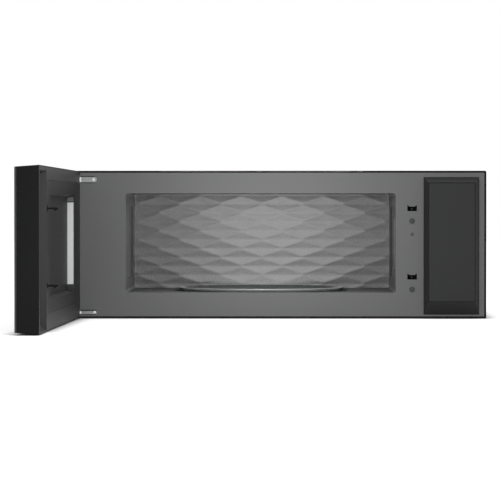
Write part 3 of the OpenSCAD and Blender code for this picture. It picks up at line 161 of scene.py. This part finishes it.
def new_piece(name, shape, *materials, crease=40):
    """Makes a piece from a bmesh, smooth wherever it turns by less than a crease, in degrees.
    The marks for sharp edges that a copied CAD mesh brings along are taken off first."""
    mesh = bpy.data.meshes.new(name)
    shape.to_mesh(mesh)
    shape.free()
    for layer in ("custom_normal", "sharp_face", "sharp_edge"):
        if layer in mesh.attributes:
            mesh.attributes.remove(mesh.attributes[layer])
    for material in materials:
        mesh.materials.append(material)
    mesh.shade_smooth()
    mesh.set_sharp_from_angle(angle=math.radians(crease))
    piece = bpy.data.objects.new(name, mesh)
    scene.collection.objects.link(piece)
    return piece


def softened(node, name, material, body, width, steepest=25.0, segments=2, others=(),
             cuts=()):
    """Shows a CAD node as a copy that is rounded over wherever it turns by more than steepest,
    in degrees. Its faces are first cut at places along an axis. Those that pass the test of a
    pair in others take that pair's material, and a later pair comes before an earlier one."""
    weld, flat = 2e-6, math.radians(0.5)
    shape = bmesh.new()
    shape.from_mesh(nodes[node].data)
    bmesh.ops.remove_doubles(shape, verts=shape.verts, dist=weld)
    for axis, place in cuts:
        bmesh.ops.bisect_plane(shape, geom=shape.verts[:] + shape.edges[:] + shape.faces[:],
                               plane_co=axis * place, plane_no=axis)
    shape.normal_update()
    for face in shape.faces:
        middle = face.calc_center_median()
        for index, (_, test) in enumerate(others, 1):
            if test(middle, face.normal):
                face.material_index = index
    bmesh.ops.dissolve_limit(shape, angle_limit=flat, verts=shape.verts, edges=shape.edges,
                             delimit={"MATERIAL"})
    sharp = [edge for edge in shape.edges if len(edge.link_faces) == 2
             and edge.calc_face_angle() > math.radians(steepest)]
    bmesh.ops.bevel(shape, geom=sharp, offset=width, segments=segments, profile=0.5,
                    affect="EDGES", clamp_overlap=True)
    bmesh.ops.triangulate(shape, faces=[face for face in shape.faces if len(face.verts) > 4])
    piece = new_piece(name, shape, material, *(other for other, _ in others))
    evened = piece.modifiers.new("flat_faces_first", "WEIGHTED_NORMAL")
    evened.keep_sharp = True
    shown = piece.evaluated_get(bpy.context.evaluated_depsgraph_get())
    piece.data = bpy.data.meshes.new_from_object(shown)
    piece.modifiers.clear()
    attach(piece, body)
    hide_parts(node)


# Painted shade: the outer 1.6 mm of the plate is cut off and coated black, partly for the wrap's
# black edge and partly for the shade in the gap round the plate.
rim = 0.0016
(left, _, bottom), (right, _, top) = corners("front_plate")
rim_x, rim_z = (right - rim, left + rim), (bottom + rim, top - rim)


def on_rim(middle, normal):
    return abs(middle.x) > rim_x[0] or not rim_z[0] < middle.z < rim_z[1]


softened("front_plate", "front_plate_face", front_coat, "cabinet", width=0.0003,
         others=((wrap_coat, on_rim),),
         cuts=[(x_axis, place) for place in rim_x] + [(z_axis, place) for place in rim_z])

# Cavity
# The steel box that the food stands in, in grey enamel, with a pressed field in each side
# wall, a round well for the turntable and a back that is pressed into a field of diamonds.
enamel = finish("cavity_enamel", (0.19, 0.191, 0.193), 0.36, metal=0.1, vary=0.03, grain=700.0,
                relief=0.03)
back_enamel = finish("diamond_back_enamel", (0.038, 0.0383, 0.0388), 0.26, vary=0.03, grain=700.0,
                     relief=0.02, ior=1.62)
mica = finish("mica_sheet", (0.2, 0.17, 0.12), 0.45, vary=0.16, patch=60.0, relief=0.1,
              coat=0.3)
dress(enamel, "cavity_liner")
dress(mica, "waveguide_cover")


def diamond_back():
    """The embossed back as one sheet with rounded creases, over the CAD node of the same size."""
    wide, high, deep, flange, lift = 0.0806, 0.0348, 0.0005, 0.009, 0.0031
    field_margin, run_out, least_gap, steps_across, steps_up = 0.006, 0.003, 0.2, 24, 20
    side_round, side_flat, ridge_round, ridge_flat = 0.25, 0.1, 0.12, 0.06
    flank_power, edge_round, tip = 0.4, 0.05, 0.01
    (left, front, bottom), (right, rear, top) = corners("cavity_back")
    middle_x, middle_z = (left + right) / 2, (bottom + top) / 2 + lift

    def lines(first_line, last_line, middle, step):
        """Grid lines at whole steps from the middle, between the two outer lines."""
        first = math.ceil((first_line - middle) / step + least_gap)
        last = math.floor((last_line - middle) / step - least_gap)
        return [first_line] + [middle + k * step for k in range(first, last + 1)] + [last_line]

    def diamond(across, up):
        """Height of one diamond, from 0 to 1, at a distance from its middle in half sizes."""
        half_height = 1 - max(0.0, math.hypot(across, side_round) - side_flat)
        if half_height <= tip:
            return 0.0
        slope = 1 - (math.hypot(up, ridge_round) - ridge_flat) / half_height
        return half_height ** flank_power * (slope + math.hypot(slope, edge_round)) / 2

    def depth(x, z):
        inside = min(x - left, right - x, z - bottom, top - z) - flange
        if inside < -field_margin:
            return 0.0
        u, v = (x - middle_x) / (wide / 2), (z - middle_z) / (high / 2)
        best = max(diamond(u - i, v - j)
                   for i in (math.floor(u), math.floor(u) + 1)
                   for j in (math.floor(v), math.floor(v) + 1) if (i + j) % 2)
        return deep * min(1, best) * min(1, (inside + field_margin) / run_out)

    xs = lines(left, right, middle_x, wide / steps_across)
    zs = lines(bottom, top, middle_z, high / steps_up)
    shape = bmesh.new()
    grid = [[shape.verts.new((x, front + depth(x, z), z)) for z in zs] for x in xs]
    (left_foot, left_head), (right_foot, right_head) = (
        [shape.verts.new((x, rear, z)) for z in (bottom, top)] for x in (left, right))
    for a, b in zip(grid, grid[1:]):
        for k in range(len(zs) - 1):
            shape.faces.new((a[k], b[k], b[k + 1], a[k + 1]))
    shape.faces.new((left_foot, left_head, right_head, right_foot))
    shape.faces.new([row[0] for row in reversed(grid)] + [left_foot, right_foot])
    shape.faces.new([row[-1] for row in grid] + [right_head, left_head])
    shape.faces.new(grid[0] + [left_head, left_foot])
    shape.faces.new(list(reversed(grid[-1])) + [right_foot, right_head])
    piece = new_piece("diamond_back", shape, back_enamel)
    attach(piece, "cabinet")
    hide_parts("cavity_back")


diamond_back()

# Turntable
# A clear glass tray with a raised rim rides on three rollers, whose ring turns at half its
# speed, and a moulded coupler on the motor's shaft drives its lugs.
tray_glass = finish("tray_glass", (0.8, 0.84, 0.83), 0.06, vary=0.02, relief=0.0, clear=0.4,
                    ior=1.6, coat=1.0)
cream = finish("cream_moulding", (0.55, 0.53, 0.48), 0.48, vary=0.04, grain=600.0, relief=0.06)
softened("glass_turntable", "turntable_tray", tray_glass, "turntable", width=0.0008,
         steepest=20.0, segments=3)
dress(cream, "turntable_coupler", "roller_ring", "roller_1", "roller_2", "roller_3")
dress(galvanised, "turntable_motor")

# Control housing
# A black moulding with sloped sides that covers the controls and fills the pocket in the
# closed door. It is held by four bosses from behind, and a groove runs round its face, whose
# floor is painted near black as painted shade.
housing_black = finish("housing_black", (0.026, 0.0263, 0.0268), 0.45, vary=0.04, grain=1100.0,
                       relief=0.1, specular=0.12)
# Painted shade: the groove's floor is made near black for the shade that lies in it.
painted_groove_shade = finish("painted_groove_shade", (0.004, 0.0041, 0.0042), 0.6, vary=0.04, grain=1100.0,
                      relief=0.1, specular=0.02)
groove_from, groove_to = 0.0001, 0.0019
housing_face = corners("control_housing")[0][1]


def in_groove(middle, normal):
    return groove_from < middle.y - housing_face < groove_to


softened("control_housing", "control_housing_shell", housing_black, "cabinet",
         width=0.0008, others=((painted_groove_shade, in_groove),))

# Circuit boards
# Green laminate with the parts soldered on: the controls behind the housing, the touch keys
# in the door and the filter of the mains line.
circuit_board = finish("circuit_board", (0.03, 0.13, 0.06), 0.4, vary=0.2, patch=120.0)
dress(circuit_board, "control_board", "touch_board", "line_filter_board")

# Latch parts in the front plate
# Two slots take the door's hooks. Behind them a black bracket carries the switches and
# their grey plungers, and soft grey bumpers stop the door.
black_moulding = finish("black_moulding", (0.007, 0.0071, 0.0074), 0.5, grain=900.0,
                        relief=0.08, specular=0.05)
grey_rubber = finish("grey_rubber", (0.055, 0.0555, 0.056), 0.65, vary=0.06, grain=700.0,
                     relief=0.1, specular=0.2)
plunger_grey = finish("plunger_grey", (0.06, 0.06, 0.061), 0.4, specular=0.2)
dress(black_moulding, "interlock_switches", "latch_bracket")
dress(grey_rubber, "door_bumpers")
dress(plunger_grey, "switch_plungers")

# Hinges
# Bright plated brackets bolted behind the front plate, each with a lug and a pin that turns
# in a cream bushing in the door. Their bent ends carry a painted glint, the top and bottom
# margins of their lugs painted shade, and their screw heads a brighter plating as a painted
# glint.
plating = finish("bright_plating", (0.25, 0.252, 0.255), 0.3, metal=0.6, vary=0.04, relief=0.02)
# Black for the screws at the right, and painted shade on the margins of the hinge lugs.
black_screw_and_shade = finish("black_screw_and_painted_shade", (0.012, 0.0121, 0.0124), 0.4, metal=0.3)
painted_bend_glint = finish("painted_bend_glint_finish", (0.7, 0.703, 0.707), 0.3, metal=0.4, vary=0.03)
painted_glint_screw = finish("painted_glint_screw", (0.55, 0.553, 0.557), 0.25, metal=0.6, vary=0.03)
# Painted glint: the bent outer end of each bracket takes a bright finish.
bend, lug = 0.0095, 0.0054  # lengths from the bracket's outer end and from its foremost point
# Painted shade: the top and bottom margins of each lug, behind its front, are made black for the
# shade above and below it.
for name, foot, head in (("upper_hinge", 0.0027, 0.0028), ("lower_hinge", 0.0043, 0.0052)):
    (left, front, bottom), (_, _, top) = corners(name)
    bend_x, lug_y, low, high = left + bend, front + lug, bottom + foot, top - head
    softened(name, name + "_bracket", plating, "cabinet", width=0.0004,
             others=((painted_bend_glint, lambda middle, normal: middle.x < bend_x),
                     (black_screw_and_shade, lambda middle, normal: not low < middle.z < high
                      and middle.y > lug_y)),
             cuts=((z_axis, low), (z_axis, high), (x_axis, bend_x)))
# Painted glint: the hinge screws' heads take a brighter plating than the brackets; those at the
# right are black.
softened("plate_screws", "plate_screw_heads", painted_glint_screw, "cabinet", width=0.0002,
         others=((black_screw_and_shade, lambda middle, normal: middle.x > 0),))
dress(cream, "hinge_bushings")

# Door shell and glass
# A black moulded frame carries one sheet of dark tinted glass over the whole front. Its
# inner face has a pocket for the control housing, and a rubber stop sits on the glass's edge.
dark_glass = finish("dark_glass", (0.012, 0.0125, 0.0135), 0.05, vary=0.02, relief=0.0)
inner_black = finish("inner_black", (0.019, 0.0192, 0.0197), 0.5, vary=0.04, grain=900.0,
                     relief=0.08, specular=0.1)
rubber = finish("rubber", (0.02, 0.02, 0.021), 0.7, vary=0.08, grain=700.0, relief=0.12,
                specular=0.3)
pocket = ((-0.4075, -0.3815), (-1.166, -1.055), (0.022, 0.26))
# Painted shade: strips this high along the top and bottom of the inner face keep the darker outer
# black, for the dark top and bottom edges of the open door.
foot_shade_strip, head_shade_strip, inward = 0.0018, 0.002, 0.6
(_, _, bottom), (_, _, top) = corners("door_frame")
inner_z = (bottom + foot_shade_strip, top - head_shade_strip)


def on_inner_side(middle, normal):
    in_pocket = all(low < place < high for place, (low, high) in zip(middle, pocket))
    return in_pocket or (normal.x > inward and inner_z[0] < middle.z < inner_z[1])


softened("door_frame", "door_shell", black_moulding, "door", width=0.0007,
         others=((inner_black, on_inner_side),), cuts=[(z_axis, place) for place in inner_z])
softened("door_glass", "door_front_glass", dark_glass, "door", width=0.0005)
dress(rubber, "glass_stop")

# Door window
# A flat black cover plate surrounds a stepped well, whose far end carries a painted patch of
# light, the wall's reflection, with a short band of painted shade above it. A tinted pane closes
# the well before a perforated screen and the choke panel.
cover_black = finish("cover_black", (0.016, 0.0162, 0.0166), 0.55, vary=0.04, grain=1000.0,
                     relief=0.08, specular=0.1)
liner_black = finish("liner_black", (0.022, 0.0222, 0.0226), 0.5, vary=0.04, grain=1000.0,
                     specular=0.12)
painted_light_patch = finish("painted_light_patch_finish", (0.6, 0.603, 0.607), 0.5, vary=0.03, relief=0.03,
                     specular=0.2)
painted_shade_band = finish("painted_shade_band", (0.12, 0.121, 0.122), 0.5, vary=0.03, relief=0.03,
                     specular=0.2)
dark_pane = finish("dark_pane", (0.026, 0.0263, 0.027), 0.4, vary=0.02, relief=0.0,
                   specular=0.03)
dark_steel = finish("dark_steel", (0.035, 0.036, 0.037), 0.42, metal=0.3, vary=0.06)
# Painted light and shade: a bright patch on the well's far end between these heights, with a grey
# band of shade above it.
light_patch_z, shade_band_z = (0.066, 0.214), (0.216, 0.225)
far_end_y, mouth_x, facing = -0.545, -0.3764, -0.6


def on_far_end(low, high):
    """A test for the part of the well's far end that lies between two heights."""
    return lambda middle, normal: (normal.y < facing and middle.y > far_end_y
                                   and middle.x < mouth_x and low < middle.z < high)


softened("choke_cover", "window_cover_plate", cover_black, "door", width=0.0003)
softened("window_liner", "window_well", liner_black, "door", width=0.0003,
         others=((painted_light_patch, on_far_end(*light_patch_z)), (painted_shade_band, on_far_end(*shade_band_z))),
         cuts=[(z_axis, place) for place in light_patch_z + shade_band_z] + [(x_axis, mouth_x)])
dress(dark_pane, "inner_pane")
dress(dark_steel, "window_screen", "choke_panel")

# Door latch
# A sliding black bar in the door with two hooks that stand out of its inner face, pulled
# down by a small spring.
spring_steel = finish("spring_steel", (0.55, 0.56, 0.57), 0.3, metal=1.0)
softened("latch_bar", "latch_bar_hooks", black_moulding, "latch", width=0.0004)


def skin(shape, rings):
    """Joins rings of vertices into a closed solid with flat ends."""
    for a, b in zip(rings, rings[1:]):
        for k in range(len(a)):
            shape.faces.new((a[k - 1], a[k], b[k], b[k - 1]))
    shape.faces.new(list(reversed(rings[0])))
    shape.faces.new(rings[-1])


def latch_spring():
    """A close coil with a hook at each end, one on the door's peg and one on the bar's."""
    x, y, low, high = -0.3912, -1.033, 0.1, 0.13
    wire, coil, hook_radius, neck, turns = 0.0003, 0.0016, 0.0017, 0.003, 22
    per_turn, around, hook_step, hook_points, grip = 14, 6, 15, 21, 0.002

    def hook(height, first_angle):
        angles = (math.radians(first_angle + hook_step * k) for k in range(hook_points))
        return [Vector((x, y + hook_radius * math.cos(a), height + hook_radius * math.sin(a)))
                for a in angles]

    steps, length = turns * per_turn, high - low - 2 * neck
    path = hook(low, 150) + [Vector((x + coil * math.cos(math.tau * turns * k / steps),
                                     y + coil * math.sin(math.tau * turns * k / steps),
                                     low + neck + length * k / steps))
                             for k in range(steps + 1)] + hook(high, -90)
    shape = bmesh.new()
    rings = []
    for before, point, after in zip(path[:1] + path, path, path[1:] + path[-1:]):
        along = (after - before).normalized()
        out = point - Vector((x, y, point.z))
        out = (out - along * out.dot(along)) if out.length > 1e-6 else Vector((1, 0, 0))
        out.normalize()
        across = along.cross(out)
        rings.append([shape.verts.new(point + wire * (math.cos(math.tau * k / around) * out
                                                      + math.sin(math.tau * k / around) * across))
                      for k in range(around)])
    skin(shape, rings)
    bmesh.ops.recalc_face_normals(shape, faces=shape.faces)
    piece = new_piece("latch_spring_coil", shape, spring_steel, crease=180)
    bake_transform(piece)
    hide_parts("latch_spring")


latch_spring()

# Underside
# Two aluminium grease filters slide in rails, and two ribbed lamp covers swing down from
# the floor plate on small hinges, each under a lamp in a cream holder.
aluminium = finish("filter_aluminium", (0.66, 0.67, 0.68), 0.34, metal=1.0, vary=0.07,
                   relief=0.06)
ribbed_lens = finish("ribbed_lens", (0.88, 0.9, 0.9), 0.12, relief=0.02, clear=0.9, ior=1.49)
dress(aluminium, "grease_filter_left", "grease_filter_right")
dress(ribbed_lens, "lamp_cover_left", "lamp_cover_right")
dress(cream, "cooktop_lamps")

# Vent blower and exhaust
# Twin wheels in galvanised scrolls behind the cavity draw the air in from below and blow it
# through a shallow duct over the cavity to a charcoal filter behind the top slots.
charcoal = finish("charcoal", (0.012, 0.012, 0.0125), 0.85, vary=0.3, grain=260.0, relief=0.6)
winding = finish("motor_steel", (0.16, 0.13, 0.11), 0.45, metal=0.6, vary=0.12)
dress(galvanised, "blower_housing", "exhaust_duct")
dress(charcoal, "charcoal_filter")
dress(black_moulding, "blower_wheels")
dress(winding, "blower_motor")

# Machine room
# Beside the cavity stand the magnetron with its fins and waveguide, its fan and air duct, the
# transformer, capacitor and diode, the cavity's lamp and the brass-bodied heat cut-outs.
brass = finish("plain_brass", (0.6, 0.47, 0.24), 0.35, metal=1.0, vary=0.08)
dress(aluminium, "magnetron", "capacitor")
dress(galvanised, "fan_housing", "waveguide")
dress(winding, "fan_motor", "transformer")
dress(cream, "air_duct", "fan_blade", "cavity_lamp")
dress(black_moulding, "diode")
dress(brass, "thermal_cutouts")

# Top
# A rubber bushing lines the hole for the mains lead, and two brass inserts take the bolts
# from the cabinet above. Six domed screws hold the top to the side panels and the rear.
dress(rubber, "cord_bushing")
dress(brass, "bolt_inserts")


def top_screws():
    """Domed screw heads with a six-lobed recess, turned as rings round each screw's axis."""
    top, around, lobes, lobe_depth = corners("cabinet_top")[1][2], 36, 6, 0.16
    dome = ((0.0042, 0.0), (0.0042, 0.0004), (0.0038, 0.0011), (0.0030, 0.0017), (0.0021, 0.0020))
    recess = ((0.0016, 0.0020), (0.0014, 0.0006))
    profile = [(*point, 0.0) for point in dome] + [(*point, lobe_depth) for point in recess]
    turns = [math.tau * k / around for k in range(around)]
    shape = bmesh.new()
    for x, y in ((0.364, -0.028), (0.364, -0.26), (0.19, -0.012)):
        for middle_x in (-x, x):
            skin(shape, [[shape.verts.new((
                middle_x + radius * (1 + lobe * math.cos(lobes * turn)) * math.cos(turn),
                y + radius * (1 + lobe * math.cos(lobes * turn)) * math.sin(turn),
                top + height)) for turn in turns] for radius, height, lobe in profile])
    piece = new_piece("top_screws", shape, plating)
    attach(piece, "cabinet")


top_screws()

# Studio
# A plain white floor and background, a small key lamp near the camera's axis and a large
# fill lamp high at the right. Near the object the floor's glow is dimmed by ambient occlusion,
# a painted contact shadow. A long lens stands far in front, a little above mid height.
camera_data = bpy.data.cameras.new("camera")
camera_data.lens = 211.3
camera_data.sensor_width = 36.0
camera_data.clip_end = 60.0
camera = bpy.data.objects.new("camera", camera_data)
camera.location = (0.0, -5.85, 0.1967)
aim = Vector((-0.0574, -0.42, 0.1264))
camera.rotation_euler = (aim - camera.location).to_track_quat("-Z", "Y").to_euler()
scene.collection.objects.link(camera)
scene.camera = camera


def seen_directly(tree):
    """A value of 1 for what the camera sees, also through glass or in a reflection."""
    path = tree.nodes.new("ShaderNodeLightPath")
    last = path.outputs["Is Camera Ray"]
    for ray in ("Is Glossy Ray", "Is Transmission Ray"):
        most = tree.nodes.new("ShaderNodeMath")
        most.operation = "MAXIMUM"
        tree.links.new(last, most.inputs[0])
        tree.links.new(path.outputs[ray], most.inputs[1])
        last = most.outputs["Value"]
    return last


white, room_light = (1, 1, 1, 1), 0.65
world = bpy.data.worlds.new("white_room")
world.use_nodes = True
tree = world.node_tree
backdrop = tree.nodes["Background"]
backdrop.inputs["Color"].default_value = white
level = tree.nodes.new("ShaderNodeMapRange")
level.inputs["To Min"].default_value = room_light
level.inputs["To Max"].default_value = 1.0
tree.links.new(seen_directly(tree), level.inputs["Value"])
tree.links.new(level.outputs["Result"], backdrop.inputs["Strength"])
scene.world = world

floor_size, floor_gap, floor_grey, floor_glow = 14.0, 0.0005, 0.8, 0.6
shadow_reach, shadow_from = 0.03, 0.5
floor_mesh = bpy.data.meshes.new("floor")
shape = bmesh.new()
bmesh.ops.create_grid(shape, x_segments=8, y_segments=8, size=floor_size)
shape.to_mesh(floor_mesh)
shape.free()
floor_material = bpy.data.materials.new("white_floor")
floor_material.use_nodes = True
tree = floor_material.node_tree
shader = tree.nodes["Principled BSDF"]
shader.inputs["Base Color"].default_value = (floor_grey, floor_grey, floor_grey, 1)
shader.inputs["Roughness"].default_value = 0.9
shader.inputs["Specular IOR Level"].default_value = 0.0
shader.inputs["Emission Color"].default_value = white
# Painted shadow: the glow that the camera sees is dimmed near the object by ambient occlusion.
painted_contact_shadow = tree.nodes.new("ShaderNodeAmbientOcclusion")
painted_contact_shadow.inputs["Distance"].default_value = shadow_reach
level = tree.nodes.new("ShaderNodeMapRange")
level.inputs["From Min"].default_value = shadow_from
level.inputs["To Max"].default_value = floor_glow
tree.links.new(painted_contact_shadow.outputs["AO"], level.inputs["Value"])
glow = tree.nodes.new("ShaderNodeMath")
glow.operation = "MULTIPLY"
tree.links.new(level.outputs["Result"], glow.inputs[1])
tree.links.new(seen_directly(tree), glow.inputs[0])
tree.links.new(glow.outputs["Value"], shader.inputs["Emission Strength"])
floor_mesh.materials.append(floor_material)
floor = bpy.data.objects.new("floor", floor_mesh)
floor.location = (0, 0, -floor_gap)
scene.collection.objects.link(floor)


def lamp(name, place, target, power, size):
    """A round lamp that the camera doesn't see."""
    data = bpy.data.lights.new(name, "AREA")
    data.shape = "DISK"
    data.energy = power
    data.size = size
    light = bpy.data.objects.new(name, data)
    light.location = place
    light.rotation_euler = (Vector(target) - Vector(place)).to_track_quat("-Z", "Y").to_euler()
    light.visible_camera = False
    scene.collection.objects.link(light)


lamp("key", (-0.03, -1.55, 0.2), target=(-0.03, -0.2, 0.15), power=3.6, size=0.4)
lamp("high_fill", (0.6, -3.2, 3.2), target=(0.0, -0.2, 0.1), power=40.0, size=2.6)

scene.view_settings.view_transform = "Standard"
